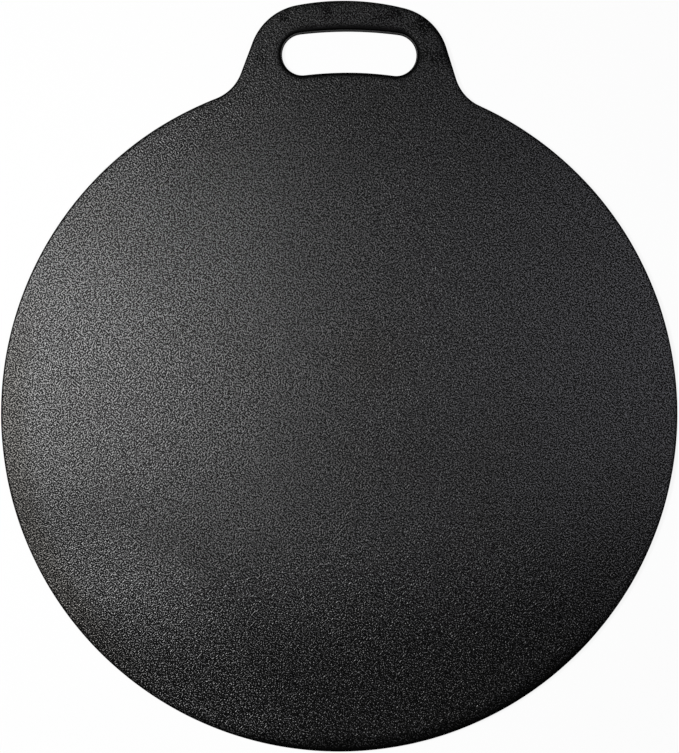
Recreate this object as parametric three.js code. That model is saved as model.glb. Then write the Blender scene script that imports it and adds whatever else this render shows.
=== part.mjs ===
// A round cast iron griddle with a loop handle, poured as one piece in a two-part sand mould.
//
// It lies flat on the XY plane with its cooking face up (+Z) and its handle towards +Y.
// The origin is the centre of the disc, on the underside. Lengths are in millimetres.
//
// The outline seen from above is a chain of arcs: the crown of the handle, a shoulder, a straight
// flank that leans out, a hollow neck that runs into the disc, and the disc itself. One edge section
// is swept along that outline and another along the finger slot. Both sections lean away from
// the plane where the two halves of the mould met, and are rounded where they reach the faces.

import * as THREE from 'three';

// Driving dimensions of the plate
const discDiameter = 380;
const plateThickness = 6;
const partingHeight = 2;

// Driving dimensions of the handle
const handleReach = 41.8; // from the disc's edge to the top of the crown
const crownRadius = 140;
const shoulderRadius = 33.5;
const handleWidth = 112; // between the flanks, level with the middle of the slot
const flankLean = THREE.MathUtils.degToRad(18.9);
const neckRadius = 24;

// Driving dimensions of the finger slot, at its narrowest
const slotLength = 75.4;
const slotWidth = 22.9;
const crownBand = 17.2; // metal left between the slot and the top of the crown

// Edge sections: the slope that frees the pattern from the sand, and the rounding at each face.
// A rounding is an ellipse, given as its width along the face and its depth down the wall.
const outerDraft = THREE.MathUtils.degToRad(4);
const slotDraft = THREE.MathUtils.degToRad(8);
const outerTopRounding = { width: 1.1, depth: 1.3 };
const outerBottomRounding = { width: 1.4, depth: 1.4 };
const slotTopRounding = { width: 0.9, depth: 1.1 };
const slotBottomRounding = { width: 1.2, depth: 1.2 };
const largestRounding = 0.9; // the most of its wall that a rounding may take

// How finely curves are cut into straight steps
const discStep = THREE.MathUtils.degToRad(2.4);
const handleStep = THREE.MathUtils.degToRad(6);
const crownStep = THREE.MathUtils.degToRad(2.5);
const slotEndStep = THREE.MathUtils.degToRad(12);
const slotSideStep = THREE.MathUtils.degToRad(1.5);
const roundingSteps = 4;

// Sizes that follow from the ones above
const discRadius = discDiameter / 2;
const handleTop = discRadius + handleReach;
const slotCurveRadius = handleTop - crownBand - slotWidth / 2; // from the disc's centre
const origin = new THREE.Vector2(0, 0);

// A point of an outline: where it is, and the way that faces out of the metal there.
function outlinePoint(centre, radius, angle, side) {
  const away = new THREE.Vector2(Math.cos(angle), Math.sin(angle));
  return {
    place: centre.clone().addScaledVector(away, radius),
    outward: away.multiplyScalar(side),
  };
}

// An arc from one angle to another. A convex arc bulges out of the metal, a hollow one into it.
function arc(centre, radius, fromAngle, toAngle, step, bulge = 'convex') {
  const side = bulge === 'convex' ? 1 : -1;
  const count = Math.max(1, Math.ceil(Math.abs(toAngle - fromAngle) / step));
  const points = [];
  for (let i = 0; i <= count; i += 1) {
    const angle = THREE.MathUtils.lerp(fromAngle, toAngle, i / count);
    points.push(outlinePoint(centre, radius, angle, side));
  }
  return points;
}

// The point where a straight line first meets a circle about a centre.
function meetingPoint(start, direction, centre, radius) {
  const offset = start.clone().sub(centre);
  const middle = -offset.dot(direction);
  const half = Math.sqrt(middle ** 2 - offset.lengthSq() + radius ** 2);
  return start.clone().addScaledVector(direction, middle - half);
}

// The centres of the handle's right-hand arcs and where they end. Each arc is tangent to the next:
// the shoulder lies inside the crown's circle, and the neck outside the flank and the disc.
function handleArcs() {
  const facing = new THREE.Vector2(Math.cos(flankLean), Math.sin(flankLean));
  const down = new THREE.Vector2(Math.sin(flankLean), -Math.cos(flankLean));
  const onFlank = new THREE.Vector2(handleWidth / 2, slotCurveRadius);

  const crown = new THREE.Vector2(0, handleTop - crownRadius);
  const insideFlank = onFlank.clone().addScaledVector(facing, -shoulderRadius);
  const shoulder = meetingPoint(insideFlank, down, crown, crownRadius - shoulderRadius);

  const outsideFlank = onFlank.clone().addScaledVector(facing, neckRadius);
  const neck = meetingPoint(outsideFlank, down, origin, discRadius + neckRadius);

  return {
    crown,
    shoulder,
    neck,
    crownEnd: shoulder.clone().sub(crown).angle(),
    neckEnd: neck.angle(),
  };
}

// The same points on the other side of the handle's axis, in the opposite order.
function mirrored(points) {
  return points
    .map(({ place, outward }) => ({
      place: new THREE.Vector2(-place.x, place.y),
      outward: new THREE.Vector2(-outward.x, outward.y),
    }))
    .reverse();
}

// Leaves out a point that repeats the one before it, as happens where two arcs join.
function withoutRepeats(points) {
  const tiny = 1e-6;
  return points.filter((point, i) => {
    const before = points[(i + points.length - 1) % points.length];
    return point.place.distanceTo(before.place) > tiny;
  });
}

// The griddle's outline, counterclockwise, starting at the edge opposite the handle.
function griddleOutline() {
  const { crown, shoulder, neck, crownEnd, neckEnd } = handleArcs();
  const rightHalf = [
    ...arc(origin, discRadius, -Math.PI / 2, neckEnd, discStep),
    ...arc(neck, neckRadius, neckEnd + Math.PI, flankLean + Math.PI, handleStep, 'hollow'),
    ...arc(shoulder, shoulderRadius, flankLean, crownEnd, handleStep),
    ...arc(crown, crownRadius, crownEnd, Math.PI / 2, crownStep),
  ];
  return withoutRepeats([...rightHalf, ...mirrored(rightHalf)]);
}

// The finger slot: a band of even width, concentric with the disc, with full round ends.
// It runs clockwise, as the edge of a hole does.
function slotOutline() {
  const endRadius = slotWidth / 2;
  const halfSpread = Math.asin((slotLength / 2 - endRadius) / slotCurveRadius);
  const rightAngle = Math.PI / 2 - halfSpread;
  const rightEnd = outlinePoint(origin, slotCurveRadius, rightAngle, 1).place;
  const outerRadius = slotCurveRadius + endRadius;
  const innerRadius = slotCurveRadius - endRadius;
  const rightHalf = [
    ...arc(origin, innerRadius, Math.PI / 2, rightAngle, slotSideStep),
    ...arc(rightEnd, endRadius, rightAngle - Math.PI, rightAngle, slotEndStep, 'hollow'),
    ...arc(origin, outerRadius, rightAngle, Math.PI / 2, slotSideStep, 'hollow'),
  ];
  return withoutRepeats([...rightHalf, ...mirrored(rightHalf)]).reverse();
}

// Half an edge section, from the parting plane to a face: how far each station rises from that
// plane, and how far the wall stands back there. A rounding is limited by its wall.
function halfSection(wallHeight, draft, rounding) {
  const depth = Math.min(rounding.depth, largestRounding * wallHeight);
  const straight = wallHeight - depth;
  const stations = [];
  for (let i = 0; i <= roundingSteps; i += 1) {
    const turn = (i / roundingSteps) * (Math.PI / 2);
    stations.push({
      rise: straight + depth * Math.sin(turn),
      setback: straight * Math.tan(draft) + rounding.width * (1 - Math.cos(turn)),
    });
  }
  return stations;
}

// A whole edge section, from the underside up to the cooking face. The wall reaches furthest out
// of the metal at the parting plane.
function edgeSection(draft, bottomRounding, topRounding) {
  const lower = halfSection(partingHeight, draft, bottomRounding);
  const upper = halfSection(plateThickness - partingHeight, draft, topRounding);
  return [
    ...lower.map(({ rise, setback }) => ({ height: partingHeight - rise, setback })).reverse(),
    { height: partingHeight, setback: 0 },
    ...upper.map(({ rise, setback }) => ({ height: partingHeight + rise, setback })),
  ];
}

// The outline at one station of an edge section, as points in space.
function ringAt(outline, { height, setback }) {
  return outline.map(({ place, outward }) => {
    const { x, y } = place.clone().addScaledVector(outward, -setback);
    return new THREE.Vector3(x, y, height);
  });
}

// A plate with one slot through it: two swept walls and the two flat faces between them.
function plateGeometry(outline, section, slot, slotSection) {
  const vertices = [];
  const triangles = [];

  const addRings = (rings) => rings.map((ring) => {
    const first = vertices.length;
    vertices.push(...ring);
    return ring.map((_, i) => first + i);
  });

  const addWall = (rings) => {
    for (let level = 0; level + 1 < rings.length; level += 1) {
      const lower = rings[level];
      const upper = rings[level + 1];
      for (let i = 0; i < lower.length; i += 1) {
        const next = (i + 1) % lower.length;
        triangles.push([lower[i], lower[next], upper[next]]);
        triangles.push([lower[i], upper[next], upper[i]]);
      }
    }
  };

  const addFace = (edge, hole, facingUp) => {
    const flat = (indices) => indices.map((i) => new THREE.Vector2(vertices[i].x, vertices[i].y));
    const corners = [...edge, ...hole];
    for (const [a, b, c] of THREE.ShapeUtils.triangulateShape(flat(edge), [flat(hole)])) {
      const face = [corners[a], corners[b], corners[c]];
      triangles.push(facingUp ? face : face.reverse());
    }
  };

  const outerRings = addRings(section.map((station) => ringAt(outline, station)));
  const slotRings = addRings(slotSection.map((station) => ringAt(slot, station)));
  addWall(outerRings);
  addWall(slotRings);
  addFace(outerRings[0], slotRings[0], false);
  addFace(outerRings.at(-1), slotRings.at(-1), true);

  const geometry = new THREE.BufferGeometry().setFromPoints(vertices);
  geometry.setIndex(triangles.flat());
  geometry.computeVertexNormals();
  return geometry;
}

function seasonedIron() {
  return new THREE.MeshStandardMaterial({
    name: 'seasoned_cast_iron',
    color: 0x2b2b2c,
    roughness: 0.55,
    metalness: 0.4,
  });
}

function griddle() {
  const geometry = plateGeometry(
    griddleOutline(),
    edgeSection(outerDraft, outerBottomRounding, outerTopRounding),
    slotOutline(),
    edgeSection(slotDraft, slotBottomRounding, slotTopRounding),
  );
  const mesh = new THREE.Mesh(geometry, seasonedIron());
  mesh.name = 'griddle';
  return mesh;
}

const model = new THREE.Group();
model.name = 'cast_iron_griddle';
model.add(griddle());

export default model;
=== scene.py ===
"""A round cast iron griddle with a loop handle, finished in oil-seasoned black.

The griddle is one casting. Its outline is a chain of arcs, its edge section is swept along that
outline and along the finger slot, and both faces are filled with an even net of triangles that
carries the slight unevenness of the sand mould.
"""

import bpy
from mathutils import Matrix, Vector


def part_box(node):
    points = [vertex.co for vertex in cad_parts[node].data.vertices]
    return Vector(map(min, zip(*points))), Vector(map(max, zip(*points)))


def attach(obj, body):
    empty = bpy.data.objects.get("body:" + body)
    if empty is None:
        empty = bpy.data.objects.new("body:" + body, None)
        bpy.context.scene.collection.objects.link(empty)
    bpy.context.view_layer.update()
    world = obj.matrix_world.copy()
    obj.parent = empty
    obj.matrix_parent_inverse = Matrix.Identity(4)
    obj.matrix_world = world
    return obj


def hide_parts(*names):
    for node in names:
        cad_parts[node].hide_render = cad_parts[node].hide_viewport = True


bl_info = {
    "name": "Cast Iron Griddle",
    "version": (1, 0, 0),
    "blender": (4, 5, 0),
    "location": "3D View > Sidebar > Griddle",
    "description": "Casts a round griddle with a loop handle and sets it on a studio floor",
    "category": "Add Mesh",
}

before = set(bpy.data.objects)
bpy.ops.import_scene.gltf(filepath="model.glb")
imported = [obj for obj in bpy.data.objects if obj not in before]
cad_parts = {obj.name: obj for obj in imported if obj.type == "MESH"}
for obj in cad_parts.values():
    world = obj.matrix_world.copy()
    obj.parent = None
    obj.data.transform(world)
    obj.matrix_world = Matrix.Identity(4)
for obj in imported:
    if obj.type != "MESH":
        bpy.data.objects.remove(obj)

import math
from typing import NamedTuple

import bpy
import numpy as np
from bpy.props import FloatProperty, FloatVectorProperty, PointerProperty
from mathutils import Vector, geometry, noise

NODE = "griddle"
BODY = "root"
MM = 0.001

CAD_LOW, CAD_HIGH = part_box(NODE)
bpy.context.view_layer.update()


def length(name, description, default):
    """A property that holds a length in metres."""
    return FloatProperty(name=name, description=description, default=default, unit="LENGTH")


def angle(name, description, default):
    """A property that holds an angle in radians."""
    return FloatProperty(name=name, description=description, default=default, unit="ROTATION")


def share(name, description, default):
    """A property that holds a number from 0 to 1."""
    return FloatProperty(name=name, description=description, default=default, min=0, max=1)


def colour(name, description, default):
    """A property that holds a colour, in linear light."""
    return FloatVectorProperty(
        name=name, description=description, default=default, subtype="COLOR", min=0, max=1
    )


class GriddleShape(bpy.types.PropertyGroup):
    """Sizes of the casting. Those of the whole griddle come from the frame."""

    disc_radius: length("Disc radius", "Radius of the round cooking plate", -CAD_LOW.y)
    thickness: length("Thickness", "Thickness of the plate and the handle", CAD_HIGH.z)
    handle_top: length(
        "Handle top", "Distance from the disc's centre to the crown of the handle", CAD_HIGH.y
    )
    crown_radius: length(
        "Crown radius", "Radius of the arc across the top of the handle", 140 * MM
    )
    shoulder_radius: length(
        "Shoulder radius", "Radius of the handle's two outer corners", 33.5 * MM
    )
    neck_radius: length(
        "Neck radius", "Radius of the hollows where the handle runs into the disc", 24 * MM
    )
    handle_width: length(
        "Handle width", "Width between the handle's flanks, level with the slot", 112 * MM
    )
    flank_lean: angle(
        "Flank lean", "How far each flank of the handle leans outwards", math.radians(18.9)
    )
    slot_length: length("Slot length", "Length of the finger slot from end to end", 75.4 * MM)
    slot_width: length("Slot width", "Width of the finger slot", 22.9 * MM)
    slot_skew: angle(
        "Slot skew",
        "How far the core of the finger slot was set askew in the mould",
        math.radians(1.25),
    )
    crown_band: length(
        "Crown band", "Iron left between the slot and the top of the handle", 17.2 * MM
    )
    parting_height: length(
        "Parting height", "Height of the line where the two halves of the mould met", 2 * MM
    )


class GriddleFinish(bpy.types.PropertyGroup):
    """Colours and grain of the seasoned iron."""

    iron: colour("Iron", "Colour of the black seasoned surface", (0.009, 0.009, 0.0095))
    # Painted shade: the pits are coloured near black, as shaded hollows
    pits: colour(
        "Pits", "Colour down between the pebbles of the grain", (0.0006, 0.0006, 0.0006)
    )
    brown: colour(
        "Thin seasoning", "Colour where the oil film is thin and browner", (0.014, 0.011, 0.008)
    )
    brown_shine: colour(
        "Thin seasoning's shine",
        "What is left of the shine where the oil film is thin",
        (0.75, 0.735, 0.705),
    )
    roughness: share("Roughness", "Roughness of the oil film on the pebbles", 0.35)
    # The tops shine this much where no painted sheen is laid on
    top_shine: share(
        "Top shine", "Shine of the pebbles' tops where they were never rubbed", 0.46
    )
    # Painted shade: the pits keep little shine
    pit_shine: share("Pit shine", "Shine that is left down in the pits", 0.025)
    grain_size: length(
        "Grain size", "Distance from one pebble of the casting grain to the next", 0.75 * MM
    )
    grain_depth: length(
        "Grain depth", "Height of the casting grain from its pits to its tops", 0.145 * MM
    )


class GriddleStudio(bpy.types.PropertyGroup):
    """Floor and camera distance."""

    floor: colour("Floor", "Colour of the studio floor", (0.95, 0.95, 0.95))
    camera_height: length(
        "Camera height", "Height of the camera above the griddle's parting line", 0.9
    )


# Outlines. Each is an array of rows: x, y, and the direction that faces out of the iron there.


def arc(centre, radius, start, end, spacing, side=1):
    """An arc without its last point. The side is 1 where it bulges out of the iron and -1 where it
    hollows in."""
    count = max(2, round(abs(end - start) * radius / spacing))
    angles = np.linspace(start, end, count, endpoint=False)
    away = np.column_stack((np.cos(angles), np.sin(angles)))
    return np.hstack((np.asarray(centre) + radius * away, side * away))


def straight(start, end, facing, spacing):
    """A straight stretch without its last point."""
    count = max(2, round(np.linalg.norm(end - start) / spacing))
    along = np.linspace(0, 1, count, endpoint=False)[:, None]
    places = start + along * (end - start)
    return np.hstack((places, np.tile(facing, (count, 1))))


def meeting_point(start, direction, centre, radius):
    """Where a straight line first meets a circle."""
    offset = start - centre
    middle = -offset @ direction
    return start + (middle - math.sqrt(middle**2 - offset @ offset + radius**2)) * direction


def mirrored(rows):
    """The same outline on the other side of the handle's axis, going the same way round."""
    return (rows * (-1, 1, -1, 1))[::-1]


def turned(rows, centre, turn):
    """The same outline turned about a centre."""
    matrix = np.array(((math.cos(turn), math.sin(turn)), (-math.sin(turn), math.cos(turn))))
    return np.hstack(((rows[:, :2] - centre) @ matrix + centre, rows[:, 2:] @ matrix))


def slot_curve_radius(shape):
    """Radius of the slot's middle line about the disc's centre."""
    return shape.handle_top - shape.crown_band - shape.slot_width / 2


def griddle_outline(shape, spacing):
    """Disc, neck, flank, shoulder and crown, counterclockwise from the edge opposite the handle."""
    lean = shape.flank_lean
    facing = np.array((math.cos(lean), math.sin(lean)))
    down = np.array((math.sin(lean), -math.cos(lean)))
    on_flank = np.array((shape.handle_width / 2, slot_curve_radius(shape)))
    middle = np.zeros(2)
    crown = np.array((0, shape.handle_top - shape.crown_radius))
    crown_to_shoulder = shape.crown_radius - shape.shoulder_radius
    inside_flank = on_flank - shape.shoulder_radius * facing
    shoulder = meeting_point(inside_flank, down, crown, crown_to_shoulder)
    middle_to_neck = shape.disc_radius + shape.neck_radius
    outside_flank = on_flank + shape.neck_radius * facing
    neck = meeting_point(outside_flank, down, middle, middle_to_neck)
    flank_start = neck - shape.neck_radius * facing
    flank_end = shoulder + shape.shoulder_radius * facing
    neck_angle = math.atan2(neck[1], neck[0])
    crown_angle = math.atan2(*(shoulder - crown)[::-1])
    right = np.vstack(
        (
            arc(middle, shape.disc_radius, -math.pi / 2, neck_angle, spacing),
            arc(neck, shape.neck_radius, neck_angle + math.pi, lean + math.pi, spacing, -1),
            straight(flank_start, flank_end, facing, spacing),
            arc(shoulder, shape.shoulder_radius, lean, crown_angle, spacing),
            arc(crown, shape.crown_radius, crown_angle, math.pi / 2, spacing),
        )
    )
    top = np.array([[0, shape.handle_top, 0, 1]])
    return np.vstack((right, top, mirrored(right)[:-1]))


def slot_outline(shape, spacing):
    """The finger slot, clockwise: a band concentric with the disc, with full round ends, turned by
    the skew of its core."""
    end_radius = shape.slot_width / 2
    curve = slot_curve_radius(shape)
    right_angle = math.pi / 2 - math.asin((shape.slot_length / 2 - end_radius) / curve)
    right_end = curve * np.array((math.cos(right_angle), math.sin(right_angle)))
    middle = np.zeros(2)
    right = np.vstack(
        (
            arc(middle, curve - end_radius, math.pi / 2, right_angle, spacing),
            arc(right_end, end_radius, right_angle - math.pi, right_angle, spacing, -1),
            arc(middle, curve + end_radius, right_angle, math.pi / 2, spacing, -1),
        )
    )
    top = np.array([[0, curve + end_radius, 0, -1]])
    rows = np.vstack((right, top, mirrored(right)[:-1]))[::-1]
    return turned(rows, np.array((0, curve)), shape.slot_skew)


# Edge sections. Each is a list of stations: height, and how far the wall stands back from the
# outline there.


class Edge(NamedTuple):
    """How a wall leans and is rounded. A rounding is its width along the face and its depth."""

    draft: float
    bottom: tuple
    top: tuple


OUTER_EDGE = Edge(math.radians(4), (1.4 * MM, 1.4 * MM), (1.1 * MM, 1.3 * MM))
SLOT_EDGE = Edge(math.radians(8), (1.2 * MM, 1.2 * MM), (0.9 * MM, 1.1 * MM))
LOW_STEPS = 6
BEAD_STEPS = 6
TOP_STEPS = 8


def rounding(corner_height, face_height, setback, width, steps):
    """Stations of an elliptical rounding from the wall to a face, which it meets at a slight
    slope."""
    last = math.radians(85)
    turns = np.linspace(0, last, steps + 1)
    heights = corner_height + (face_height - corner_height) * np.sin(turns) / math.sin(last)
    return list(zip(heights, setback + width * (1 - np.cos(turns)) / (1 - math.cos(last))))


def parting_bead(height, slope, proud, half_height):
    """The low ridge of metal that ran into the joint of the mould, with its crest at no setback."""
    turns = np.linspace(-1, 1, BEAD_STEPS + 1)
    crest = np.cos(turns * math.pi / 2) ** 2
    return [
        (height + turn * half_height, proud * (1 - rise) + abs(turn) * half_height * slope)
        for turn, rise in zip(turns, crest)
    ]


def edge_section(shape, edge):
    """The whole section of an edge from the underside to the cooking face."""
    proud = 0.12 * MM
    half_height = 0.35 * MM
    above_bead = 1.2 * MM
    slope = math.tan(edge.draft)
    bottom_width, low = edge.bottom
    top_width, top_depth = edge.top
    high = shape.thickness - top_depth
    low_back = proud + (shape.parting_height - low) * slope
    high_back = proud + (high - shape.parting_height) * slope
    return [
        *rounding(low, 0, low_back, bottom_width, LOW_STEPS)[::-1],
        *parting_bead(shape.parting_height, slope, proud, half_height),
        (shape.parting_height + above_bead, proud + above_bead * slope),
        *rounding(high, shape.thickness, high_back, top_width, TOP_STEPS),
    ]


def strip_finishes(below, side, corner, face):
    """The finish of each strip between two stations: those up to the one above the parting bead,
    the straight side over it, and the top rounding, whose last strip matches the face."""
    return [*[below] * (LOW_STEPS + BEAD_STEPS + 2), side, *[corner] * (TOP_STEPS - 1), face]


# Unevenness of the sand mould. The swells of a face are rows of: the slice of the noise they are
# taken from, how far apart they are, and how deep. A wall's height takes the place of its slice.


WALL_SWELLS = ((24 * MM, 0.10 * MM), (5 * MM, 0.03 * MM))
COOKING_SWELLS = ((1, 35 * MM, 0.07 * MM), (2, 6 * MM, 0.03 * MM))
UNDERSIDE_SWELLS = ((3, 30 * MM, 0.08 * MM), (4, 7 * MM, 0.10 * MM))
RAGGED_SLICE = 5
BROWN_SLICE = 6
BLOTCH_SLICE = 7


def unevenness(place, size, depth):
    """Smooth noise between 0 and depth whose swells are about size apart."""
    return depth * (0.5 + 0.5 * noise.noise(Vector(place) / size))


def drawn_in(x, y, height):
    """How far the unevenness of the mould draws a wall in."""
    return sum(unevenness((x, y, height), size, depth) for size, depth in WALL_SWELLS)


def swell_at(x, y, swells):
    """How far the unevenness of the mould draws a face in."""
    return sum(unevenness((x, y, level), size, depth) for level, size, depth in swells)


# What the iron looks like from place to place, painted shade and painted sheen among it. Places
# are measured from the disc's centre or, on the handle, from the disc's rim. Directions are in
# degrees.


def eased(value, start, end):
    """A smooth rise from 0 at start to 1 at end, which may be the smaller of the two."""
    along = min(1, max(0, (value - start) / (end - start)))
    return along * along * (3 - 2 * along)


def eased_band(value, start, full_from, full_to, end):
    """1 from full_from to full_to, 0 before start and after end, and smooth in between."""
    return eased(value, start, full_from) * eased(value, end, full_to)


def smooth_dark_rim(x, y):
    """1 along the rim opposite the handle and to the right, and 0 elsewhere. There the rim falls
    off a little more and loses its grain, whose tops then stop shining: painted shade.
    """
    middle = 18
    full_within = 25
    none_beyond = 45
    round_from_bottom = math.degrees(math.atan2(x, -y))
    return eased(abs(round_from_bottom - middle), none_beyond, full_within)


def browning(x, y, from_edge):
    """How brown the seasoning is: a band along the left rim and a faint patch near the middle."""
    middle = -18
    full_within = 20
    none_beyond = 45
    round_from_left = math.degrees(math.atan2(y, -x))
    along = eased(abs(round_from_left - middle), none_beyond, full_within)
    width = 15 * MM + unevenness((x, y, BROWN_SLICE), 14 * MM, 8 * MM)
    band = along * eased(from_edge, width, 0.3 * width)
    patch_size = 20 * MM
    from_patch = math.hypot(x - 17 * MM, y - 33 * MM)
    patch = 0.5 * math.exp(-((from_patch / patch_size) ** 2))
    return max(band, patch)


class Surface:
    """How the finish of the iron changes from place to place on a griddle of one shape."""

    def __init__(self, shape):
        self.disc_radius = shape.disc_radius
        self.thickness = shape.thickness
        self.flank_lean = shape.flank_lean
        self.on_flank = shape.handle_width / 2, slot_curve_radius(shape)

    def from_right_flank(self, x, y):
        """How far inside the line of the handle's right flank a point lies."""
        across = (self.on_flank[0] - x) * math.cos(self.flank_lean)
        return across + (self.on_flank[1] - y) * math.sin(self.flank_lean)

    def dark_handle_bands(self, x, y):
        """1 along the upper side of the finger slot and the handle's right flank, and 0 elsewhere.
        There the grain is thinned, so that its tops shine less: painted shade."""
        beyond_disc = y - self.disc_radius
        over_slot = eased(abs(x), 36 * MM, 26 * MM)
        above_slot = over_slot * eased_band(beyond_disc, 10 * MM, 18 * MM, 29 * MM, 36 * MM)
        on_handle = eased(beyond_disc, -2 * MM, 10 * MM)
        beside_flank = on_handle * eased(self.from_right_flank(x, y), 9 * MM, 5 * MM)
        return max(above_slot, beside_flank)

    def near_slot(self, x, y):
        """1 over the finger slot and the iron next to it, and 0 out at the griddle's own edge."""
        beyond_disc = y - self.disc_radius
        beside_slot = eased(abs(x), 46 * MM, 42 * MM)
        return beside_slot * eased_band(beyond_disc, -8 * MM, -4 * MM, 28 * MM, 32 * MM)

    def grain(self, x, y, height, from_edge):
        """How strong the pebbled grain is: 1 on the face and more away from the handle, less on the
        edge, little on the handle's dark bands, and none on the dark rim or at the slot's upper
        corner. Where it is weak the tops don't shine, which paints shade there."""
        cast_edge = 0.8
        band_share = 0.8
        most_growth = 2.8
        below_face = self.thickness - height
        rim = smooth_dark_rim(x, y) * eased(below_face, 2 * MM, 0.5 * MM)
        dark_zone = max(rim, band_share * self.dark_handle_bands(x, y))
        slot_corner = self.near_slot(x, y) * eased(below_face, 1 * MM, 0.4 * MM)
        on_edge = cast_edge * (1 - max(dark_zone, slot_corner))
        ragged = unevenness((x, y, RAGGED_SLICE), 10 * MM, 4 * MM)
        reach = 1.5 * MM + dark_zone * (1.5 * MM + ragged) + rim * 2.5 * MM + slot_corner * 1.2 * MM
        on_face = min(1, from_edge / reach)
        growth = most_growth * eased(-y, 15 * MM, self.disc_radius)
        return on_edge + (1 - on_edge) * on_face + growth * on_face**2

    def shade_and_blotches(self, x, y):
        """How few of the pebbles' tops shine, which darkens the iron. Painted shade: 1 at the edge
        opposite the handle, less and less from there to the disc's middle, and a little on the left
        half; and blotches on the handle."""
        far_from_handle = eased(0.12 * x - y, 20 * MM, self.disc_radius)
        left_half = 0.3 * eased(-x, 10 * MM, 90 * MM)
        blotches = 0.8 * eased(unevenness((x, y, BLOTCH_SLICE), 9 * MM, 1), 0.5, 0.8)
        on_handle = eased(y - self.disc_radius, -2 * MM, 13 * MM)
        return max(far_from_handle, left_half, blotches * on_handle)

    def painted_sheen(self, x, y):
        """How much more the tops shine, a painted sheen: much at the lower left, and a little on
        the left half and opposite the handle."""
        to_lower_left = -x - 0.8 * y
        sheened = eased(to_lower_left, 120 * MM, self.disc_radius) * eased(-y, 50 * MM, 110 * MM)
        left_half = 0.13 * eased(-x, 10 * MM, 90 * MM)
        far_from_handle = 0.2 * eased(to_lower_left, 0, 100 * MM) * eased(-y, 50 * MM, 130 * MM)
        return max(sheened, left_half, far_from_handle)

    def at(self, x, y, height, from_edge):
        """All that the mesh keeps at a point."""
        return {
            "grain": self.grain(x, y, height, from_edge),
            "shade_and_blotches": self.shade_and_blotches(x, y),
            "painted_sheen": self.painted_sheen(x, y),
            "browning": browning(x, y, from_edge),
        }


# The casting's mesh


def net_points(edge, hole, spacing):
    """Points of an even triangular net inside the edge and outside the hole, clear of both."""
    least_clearance = 0.75 * spacing
    low = edge.min(axis=0)
    high = edge.max(axis=0)
    row_height = spacing * math.sqrt(3) / 2
    ys = np.arange(low[1], high[1], row_height)
    xs = np.arange(low[0], high[0], spacing)
    grid_x, grid_y = np.meshgrid(xs, ys)
    grid_x += (np.arange(len(ys)) % 2)[:, None] * spacing / 2
    points = np.column_stack((grid_x.ravel(), grid_y.ravel()))
    points = points[inside(points, edge) & ~inside(points, hole)]
    clear = np.minimum(distance_to(points, edge), distance_to(points, hole))
    return points[clear > least_clearance]


def inside(points, loop):
    """Which points lie inside a closed loop."""
    result = np.zeros(len(points), bool)
    following = np.roll(loop, -1, axis=0)
    for (x1, y1), (x2, y2) in zip(loop, following):
        crosses = (y1 > points[:, 1]) != (y2 > points[:, 1])
        if not crosses.any():
            continue
        level = points[crosses, 1]
        result[crosses] ^= points[crosses, 0] < x1 + (level - y1) * (x2 - x1) / (y2 - y1)
    return result


def distance_to(points, loop):
    """Distance from each point to the nearest corner of a closely stepped loop."""
    nearest = np.full(len(points), np.inf)
    for corner in loop:
        np.minimum(nearest, ((points - corner) ** 2).sum(axis=1), out=nearest)
    return np.sqrt(nearest)


class Casting:
    """Gathers the mesh: points, how the iron looks at each, and faces with their finishes.

    A finish is the number of a material, in the order in which the piece gets them.
    """

    FACE, SIDE, CORNER = range(3)

    def __init__(self, shape):
        self.surface = Surface(shape)
        self.points = []
        self.looks = []
        self.faces = []
        self.finishes = []

    def add_points(self, points, from_edge):
        """Adds points, each with its distance from the nearest edge. Returns their numbers."""
        first = len(self.points)
        for (x, y, z), distance in zip(points, from_edge):
            self.points.append((x, y, z))
            self.looks.append(self.surface.at(x, y, z, distance))
        return np.arange(first, len(self.points))

    def add_wall(self, outline, section, finishes, lowered):
        """Sweeps an edge section along an outline. Returns the rings of points at the underside
        and at the cooking face."""
        rings = []
        for height, setback in section:
            ring = []
            for x, y, out_x, out_y in outline:
                inward = setback + drawn_in(x, y, height)
                place = x - inward * out_x, y - inward * out_y
                ring.append((*place, height - lowered(x, y, height)))
            rings.append(self.add_points(ring, np.zeros(len(ring))))
        for lower, upper, finish in zip(rings, rings[1:], finishes):
            self.faces.extend(zip(lower, np.roll(lower, -1), np.roll(upper, -1), upper))
            self.finishes.extend([finish] * len(lower))
        return rings[0], rings[-1]

    def add_face(self, edge_ring, hole_ring, spacing, height_at, facing_up):
        """Fills the space between an edge and a hole with a net of triangles."""
        edge = np.array([self.points[i][:2] for i in edge_ring])
        hole = np.array([self.points[i][:2] for i in hole_ring])
        inner = net_points(edge, hole, spacing)
        margin = np.minimum(distance_to(inner, edge), distance_to(inner, hole))
        points = [(x, y, height_at(x, y, distance)) for (x, y), distance in zip(inner, margin)]
        numbers = np.concatenate((edge_ring, hole_ring, self.add_points(points, margin)))
        flat = np.vstack((edge, hole, inner))
        loops = np.arange(len(edge)), len(edge) + np.arange(len(hole))
        steps = np.vstack([np.column_stack((loop, np.roll(loop, -1))) for loop in loops])
        places = [Vector(place) for place in flat]
        only_inside = 1
        tiny = 1e-9
        made = geometry.delaunay_2d_cdt(places, steps.tolist(), [], only_inside, tiny)
        triangles = np.array(made[2])
        triangles = numbers[triangles[~inside(flat[triangles].mean(axis=1), hole)]]
        self.faces.extend(triangles if facing_up else triangles[:, ::-1])
        self.finishes.extend([self.FACE] * len(triangles))

    def mesh(self, name):
        """The mesh that has been gathered, with what is kept at its points as attributes."""
        mesh = bpy.data.meshes.new(name)
        mesh.from_pydata(self.points, [], [[int(i) for i in face] for face in self.faces])
        mesh.polygons.foreach_set("material_index", self.finishes)
        for layer in self.looks[0]:
            values = [looks[layer] for looks in self.looks]
            mesh.attributes.new(layer, "FLOAT", "POINT").data.foreach_set("value", values)
        mesh.shade_smooth()
        return mesh


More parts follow.
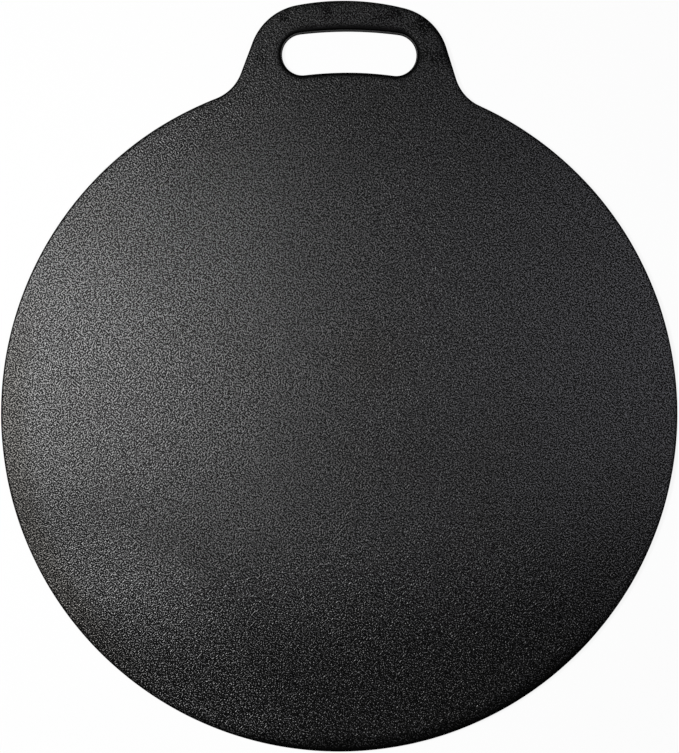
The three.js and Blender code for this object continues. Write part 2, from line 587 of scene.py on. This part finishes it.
def casting_mesh(shape):
    """The whole griddle."""
    step = 1.2 * MM
    underside_spacing = 3 * MM
    cooking_spacing = 1.6 * MM
    fall_width = 4.6 * MM
    least_fall = 0.03 * MM
    smooth_rim_fall = 0.09 * MM
    casting = Casting(shape)
    face, side, corner = casting.FACE, casting.SIDE, casting.CORNER

    def rim_fall(x, y):
        return least_fall + smooth_rim_fall * smooth_dark_rim(x, y)

    def lowered(x, y, height):
        upper_half = shape.thickness - shape.parting_height
        return rim_fall(x, y) * max(0, (height - shape.parting_height) / upper_half)

    def cooking_height(x, y, from_edge):
        falling = rim_fall(x, y) * max(0, 1 - from_edge / fall_width) ** 2
        swell = swell_at(x, y, COOKING_SWELLS) * min(1, from_edge / fall_width)
        return shape.thickness - falling - swell

    def underside_height(x, y, from_edge):
        return swell_at(x, y, UNDERSIDE_SWELLS) * min(1, from_edge / fall_width)

    # The rounded top corners, and the slot's lower strips, take the corner finish's painted shade
    outer_low, outer_high = casting.add_wall(
        griddle_outline(shape, step),
        edge_section(shape, OUTER_EDGE),
        strip_finishes(face, face, corner, face),
        lowered,
    )
    slot_low, slot_high = casting.add_wall(
        slot_outline(shape, step),
        edge_section(shape, SLOT_EDGE),
        strip_finishes(corner, side, corner, face),
        lowered,
    )
    casting.add_face(outer_low, slot_low, underside_spacing, underside_height, False)
    casting.add_face(outer_high, slot_high, cooking_spacing, cooking_height, True)
    return casting.mesh("griddle_casting")


# Materials


class Nodes:
    """Adds and links the nodes of one material or world."""

    MIX_FACTOR, MIX_FIRST, MIX_SECOND, MIX_RESULT = 0, 6, 7, 2

    def __init__(self, owner):
        owner.use_nodes = True
        self.tree = owner.node_tree
        self.tree.nodes.clear()

    def add(self, kind, inputs=None, **settings):
        """A new node. Each input is given a value or the socket that feeds it."""
        node = self.tree.nodes.new(kind)
        for name, value in settings.items():
            setattr(node, name, value)
        for name, value in (inputs or {}).items():
            self.set(node.inputs[name], value)
        return node

    def set(self, socket, value):
        """Gives an input a value, or links it to the socket that feeds it."""
        if isinstance(value, bpy.types.NodeSocket):
            self.tree.links.new(value, socket)
        else:
            socket.default_value = value

    def layer(self, name):
        """A value that the mesh keeps at each point."""
        return self.add("ShaderNodeAttribute", attribute_name=name).outputs["Fac"]

    def noise(self, place, size, detail, roughness):
        """Noise whose swells are about size apart."""
        inputs = {"Vector": place, "Scale": 1 / size, "Detail": detail, "Roughness": roughness}
        return self.add("ShaderNodeTexNoise", inputs).outputs["Fac"]

    def ranged(self, value, low, high, to_low=0.0, to_high=1.0):
        """A smooth run from to_low, where the value is low, to to_high, where it is high."""
        inputs = {
            "Value": value,
            "From Min": low,
            "From Max": high,
            "To Min": to_low,
            "To Max": to_high,
        }
        node = self.add("ShaderNodeMapRange", inputs, interpolation_type="SMOOTHSTEP")
        return node.outputs["Result"]

    def math(self, operation, first, second):
        """The result of one operation on two values."""
        node = self.add("ShaderNodeMath", operation=operation)
        self.set(node.inputs[0], first)
        self.set(node.inputs[1], second)
        return node.outputs[0]

    def blend(self, factor, first, second, kind="MIX"):
        """The first colour where the factor is 0. Where it is 1, the second, or with MULTIPLY the
        product of both."""
        node = self.add("ShaderNodeMix", data_type="RGBA", blend_type=kind)
        self.set(node.inputs[self.MIX_FACTOR], factor)
        self.set(node.inputs[self.MIX_FIRST], first)
        self.set(node.inputs[self.MIX_SECOND], second)
        return node.outputs[self.MIX_RESULT]

    def finish(self, kind, surface):
        """Links what has been made to the output of the material or world."""
        output = self.add(kind)
        self.tree.links.new(surface.outputs[0], output.inputs[0])


def grey(value):
    """A neutral colour of one value."""
    return value, value, value, 1


def seasoned_iron(name, finish, roughness, specular, tops_kept=1.0):
    """Black oil-seasoned iron: pebbled casting grain under a thin satin film.

    The specular value scales the film's shine, and tops_kept how much of the tops' colour is
    kept, which is lowered on the rounded corners to paint shade there.
    """
    film_ior = 1.68
    rougher_pits = 0.04
    pit_level, top_level = 0.3, 0.7
    # Levels of the noise at which the pebbles' tops start to shine and from which they shine fully
    dense_start, dense_full = 0.36, 0.73
    sparse_start, sparse_full = 0.55, 0.72
    full_grain = 0.7
    patch_size = 60 * MM
    patch_start, patch_full = 0.5, 0.7
    patch_browning = 0.2
    # The noise is turned, so that its grid makes no rows along the griddle's axes
    grid_turn = (0, 0, 0.7)

    material = bpy.data.materials.new(name)
    n = Nodes(material)
    place = n.add("ShaderNodeTexCoord").outputs["Object"]
    askew = n.add("ShaderNodeMapping", {"Vector": place, "Rotation": grid_turn}).outputs["Vector"]
    pebbled = n.layer("grain")
    pebbles = n.noise(askew, finish.grain_size, 0, 0.5)
    relief = n.math("MULTIPLY", pebbles, pebbled)
    bump_inputs = {"Strength": 1.0, "Distance": finish.grain_depth, "Height": relief}
    bump = n.add("ShaderNodeBump", bump_inputs)

    sparse = n.layer("shade_and_blotches")
    # Painted shade: the higher this layer, the fewer tops shine and the darker the iron
    start = n.ranged(sparse, 0, 1, dense_start, sparse_start)
    full = n.ranged(sparse, 0, 1, dense_full, sparse_full)
    # Painted shade: where the grain layer is weak the tops fade out, leaving the pits' dark colour
    tops = n.math("MULTIPLY", n.ranged(pebbles, start, full), n.ranged(pebbled, 0, full_grain))
    patches = n.noise(place, patch_size, 3, 0.6)
    faint_patches = n.ranged(patches, patch_start, patch_full, 0, patch_browning)
    browned = n.math("MAXIMUM", faint_patches, n.layer("browning"))
    film = n.blend(browned, (*finish.iron, 1), (*finish.brown, 1))
    # Painted shade: on the rounded corners the tops keep only part of their colour
    kept_tops = n.math("MULTIPLY", tops, tops_kept)
    # Painted sheen: the tops shine up to fully where this layer is high
    top_shine_with_sheen = n.blend(n.layer("painted_sheen"), grey(finish.top_shine), grey(1))
    top_shine = n.blend(browned, top_shine_with_sheen, (*finish.brown_shine, 1), "MULTIPLY")
    # Base Color and Specular Tint run from the pits' painted shade up to the tops' colour and shine
    shader = n.add(
        "ShaderNodeBsdfPrincipled",
        {
            "Base Color": n.blend(kept_tops, (*finish.pits, 1), film),
            "Roughness": n.ranged(
                pebbles, pit_level, top_level, roughness + rougher_pits, roughness
            ),
            "IOR": film_ior,
            "Specular IOR Level": specular,
            "Specular Tint": n.blend(tops, grey(finish.pit_shine), top_shine),
            "Normal": bump.outputs["Normal"],
        },
    )
    n.finish("ShaderNodeOutputMaterial", shader)
    return material


def studio_floor(studio):
    """A pale floor that looks nearly white to the camera and still takes the griddle's shadow."""
    white_share = 0.9
    material = bpy.data.materials.new("studio_floor")
    n = Nodes(material)
    path = n.add("ShaderNodeLightPath")
    seen = n.math("MAXIMUM", path.outputs["Is Camera Ray"], path.outputs["Is Glossy Ray"])
    lit = n.add("ShaderNodeBsdfDiffuse", {"Color": (*studio.floor, 1)})
    white = n.add("ShaderNodeEmission", {"Color": grey(1), "Strength": 1.0})
    mix = n.add("ShaderNodeMixShader", {"Fac": n.math("MULTIPLY", seen, white_share)})
    n.tree.links.new(lit.outputs[0], mix.inputs[1])
    n.tree.links.new(white.outputs[0], mix.inputs[2])
    n.finish("ShaderNodeOutputMaterial", mix)
    return material


def studio_room():
    """A dim white room all round."""
    brightness = 0.04
    world = bpy.data.worlds.new("studio_room")
    n = Nodes(world)
    background = n.add("ShaderNodeBackground", {"Color": grey(1), "Strength": brightness})
    n.finish("ShaderNodeOutputWorld", background)
    return world


# The stage


def floor_mesh():
    """A round floor that curves up into a low wall all the way round."""
    middle_radius = 0.05
    flat_radius = 2.2
    flat_rings = 12
    bend = 0.5
    bend_rings = 9
    wall = 1.3
    around = 96
    profile = [(radius, 0.0) for radius in np.linspace(middle_radius, flat_radius, flat_rings)]
    for turn in np.linspace(0, math.pi / 2, bend_rings + 1)[1:]:
        profile.append((flat_radius + bend * math.sin(turn), bend * (1 - math.cos(turn))))
    profile.append((flat_radius + bend, wall))
    vertices = [(0, 0, 0)]
    faces = []
    angles = np.linspace(0, 2 * math.pi, around, endpoint=False)
    for radius, height in profile:
        vertices.extend((radius * math.cos(a), radius * math.sin(a), height) for a in angles)
    for i in range(around):
        j = (i + 1) % around
        faces.append((0, 1 + i, 1 + j))
        for ring in range(len(profile) - 1):
            first = 1 + ring * around
            faces.append((first + i, first + around + i, first + around + j, first + j))
    mesh = bpy.data.meshes.new("studio_floor")
    mesh.from_pydata(vertices, [], faces)
    mesh.shade_smooth()
    return mesh


class Softbox(NamedTuple):
    """A square lamp that faces the plate's centre: where it is, its side in metres and its power
    in watts."""

    name: str
    place: tuple
    side: float
    power: float
    colour: tuple


SOFTBOXES = (
    Softbox("key_softbox", (-0.42, 0.054, 1.0), 0.2, 10, (1, 1, 1)),
    Softbox("fill_softbox", (0.41, 0.095, 1.0), 0.25, 1.5, (0.9, 0.9, 1)),
)


def add_softbox(softbox):
    """Hangs up one softbox."""
    lamp = bpy.data.lights.new(softbox.name, "AREA")
    lamp.shape = "SQUARE"
    lamp.size = softbox.side
    lamp.energy = softbox.power
    lamp.color = softbox.colour
    holder = bpy.data.objects.new(softbox.name, lamp)
    holder.location = softbox.place
    holder.rotation_euler = (-Vector(softbox.place)).to_track_quat("-Z", "Y").to_euler()
    holder.visible_camera = False
    bpy.context.scene.collection.objects.link(holder)


def overhead_camera(shape, studio):
    """Looks straight down, framed as in the photograph."""
    frame_height = 753
    disc_radius_px = 337.8
    disc_centre_px = (339.2, 413.3)
    frame_centre_px = (339.5, 376.5)
    roll = math.radians(1.6)
    sensor = 36
    metres_per_px = shape.disc_radius / disc_radius_px
    right = (frame_centre_px[0] - disc_centre_px[0]) * metres_per_px
    up = (disc_centre_px[1] - frame_centre_px[1]) * metres_per_px
    data = bpy.data.cameras.new("overhead_camera")
    data.sensor_width = sensor
    data.lens = studio.camera_height / metres_per_px * sensor / frame_height
    data.clip_start = 0.01
    data.clip_end = 20
    camera = bpy.data.objects.new("overhead_camera", data)
    camera.location = (
        right * math.cos(roll) - up * math.sin(roll),
        right * math.sin(roll) + up * math.cos(roll),
        studio.camera_height + shape.parting_height,
    )
    camera.rotation_euler = (0, 0, roll)
    bpy.context.scene.collection.objects.link(camera)
    bpy.context.scene.camera = camera


class GRIDDLE_OT_cast(bpy.types.Operator):
    """Casts the griddle in place of the plain one in the frame"""

    bl_idname = "griddle.cast"
    bl_label = "Cast griddle"

    def execute(self, context):
        scene = context.scene
        finish = scene.griddle_finish
        piece = bpy.data.objects.new("griddle_casting", casting_mesh(scene.griddle_shape))
        scene.collection.objects.link(piece)
        finishes = {
            "seasoned_iron": {"roughness": finish.roughness, "specular": 1.0},
            # Painted shade: the slot's wall gets a copy of the iron with little shine, which keeps
            # it dark
            "slot_wall_iron": {"roughness": 0.5, "specular": 0.08},
            # Painted shade: the rounded corners get a near-black copy of the iron, with almost no
            # shine
            "painted_shade_corner_iron": {"roughness": 0.6, "specular": 0.01, "tops_kept": 0.3},
        }
        for name, looks in finishes.items():
            piece.data.materials.append(seasoned_iron(name, finish, **looks))
        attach(piece, BODY)
        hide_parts(NODE)
        return {"FINISHED"}


class GRIDDLE_OT_stage(bpy.types.Operator):
    """Lays the floor and sets up the lamps, the room and the camera"""

    bl_idname = "griddle.stage"
    bl_label = "Set the stage"

    def execute(self, context):
        scene = context.scene
        studio = scene.griddle_studio
        floor = bpy.data.objects.new("studio_floor", floor_mesh())
        scene.collection.objects.link(floor)
        floor.data.materials.append(studio_floor(studio))
        for softbox in SOFTBOXES:
            add_softbox(softbox)
        scene.world = studio_room()
        scene.view_settings.view_transform = "Standard"
        overhead_camera(scene.griddle_shape, studio)
        return {"FINISHED"}


class GRIDDLE_PT_panel(bpy.types.Panel):
    """Sizes, finish and stage of the griddle"""

    bl_label = "Griddle"
    bl_idname = "GRIDDLE_PT_panel"
    bl_space_type = "VIEW_3D"
    bl_region_type = "UI"
    bl_category = "Griddle"

    def draw(self, context):
        scene = context.scene
        for group in (scene.griddle_shape, scene.griddle_finish, scene.griddle_studio):
            column = self.layout.column(align=True)
            for name in group.__annotations__:
                column.prop(group, name)
        self.layout.operator(GRIDDLE_OT_cast.bl_idname)
        self.layout.operator(GRIDDLE_OT_stage.bl_idname)


CLASSES = (
    GriddleShape,
    GriddleFinish,
    GriddleStudio,
    GRIDDLE_OT_cast,
    GRIDDLE_OT_stage,
    GRIDDLE_PT_panel,
)


def register():
    for kind in CLASSES:
        bpy.utils.register_class(kind)
    bpy.types.Scene.griddle_shape = PointerProperty(type=GriddleShape)
    bpy.types.Scene.griddle_finish = PointerProperty(type=GriddleFinish)
    bpy.types.Scene.griddle_studio = PointerProperty(type=GriddleStudio)


def unregister():
    del bpy.types.Scene.griddle_studio
    del bpy.types.Scene.griddle_finish
    del bpy.types.Scene.griddle_shape
    for kind in reversed(CLASSES):
        bpy.utils.unregister_class(kind)


def main():
    register()
    bpy.ops.griddle.cast()
    bpy.ops.griddle.stage()


if __name__ == "__main__":
    main()
